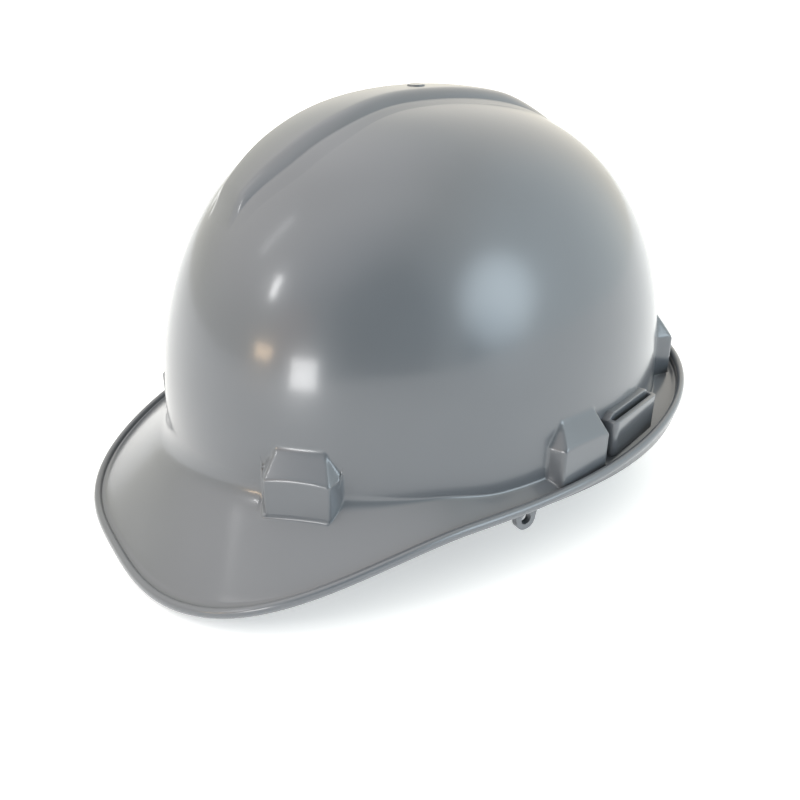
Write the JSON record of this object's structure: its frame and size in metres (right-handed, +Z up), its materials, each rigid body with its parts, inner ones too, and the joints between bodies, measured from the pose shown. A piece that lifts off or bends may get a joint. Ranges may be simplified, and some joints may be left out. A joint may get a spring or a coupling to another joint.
{
  "type": "safety helmet",
  "caption": "Grey industrial safety helmet with a short brim, centre ridge, six key bosses, accessory slots and a ratchet headband on crown webbing.",
  "frame": {"origin": "centre of the bounding box in plan, on the plane that the helmet stands on, under the lip of its visor and the flat underside of the nape housing", "axes": "+Z up, +Y towards the nape, -Y towards the visor, +X towards the wearer's left"},
  "size_m": [0.222, 0.3033, 0.1882],
  "materials": {
    "shell_plastic": "semi-gloss cool grey moulded polyethylene",
    "black_nylon": "satin black nylon",
    "webbing": "woven polyester webbing",
    "foam": "soft dark foam with a cloth face",
    "sweat_cloth": "soft brushed cloth over foam",
    "screw_steel": "zinc-plated steel",
    "gear_nylon": "natural nylon",
    "knob_plastic": "textured black plastic"
  },
  "bodies": {
    "helmet": {"shell": "shell_plastic", "chin_strap_lugs": "shell_plastic", "key_front_left": "black_nylon", "key_front_right": "black_nylon", "key_side_left": "black_nylon", "key_side_right": "black_nylon", "key_rear_left": "black_nylon", "key_rear_right": "black_nylon", "crown_strap_side": "webbing", "crown_strap_left": "webbing", "crown_strap_right": "webbing", "crown_pad": "foam", "front_band": "black_nylon", "band_studs": "black_nylon", "sweatband": "sweat_cloth", "side_band_left": "black_nylon", "side_band_right": "black_nylon"},
    "rack_strap_left": {"rack_left": "black_nylon"},
    "rack_strap_right": {"rack_right": "black_nylon"},
    "nape": {"nape_cover_outer": "black_nylon", "nape_cover_inner": "black_nylon", "nape_pad": "foam", "nape_screws": "screw_steel"},
    "dial": {"pinion": "gear_nylon", "click_spring": "gear_nylon", "adjust_knob": "knob_plastic", "knob_screw": "screw_steel"}
  },
  "joints": [
    {"name": "nape_slide", "type": "slide", "parent": "helmet", "child": "nape", "axis": [0, -1, 0], "range_m": [-0.0192, 0.0192]},
    {"name": "rack_left_slide", "type": "slide", "parent": "helmet", "child": "rack_strap_left", "axis": [-0.6402, -0.7682, 0], "range_m": [-0.025, 0.025], "deforming": ["side_band_left"]},
    {"name": "rack_right_slide", "type": "slide", "parent": "helmet", "child": "rack_strap_right", "axis": [0.6402, -0.7682, 0], "range_m": [-0.025, 0.025], "deforming": ["side_band_right"]},
    {"name": "dial_turn", "type": "hinge", "parent": "nape", "child": "dial", "pos_m": [0, 0.11675, 0.017], "axis": [0, -1, 0], "range_deg": [-153, 153]}
  ],
  "couplings": [
    {"joint": "rack_left_slide", "follows": "nape_slide", "ratio": 1.3017},
    {"joint": "rack_right_slide", "follows": "nape_slide", "ratio": 1.3017},
    {"joint": "dial_turn", "follows": "nape_slide", "rad_per_m": 138.9}
  ]
}
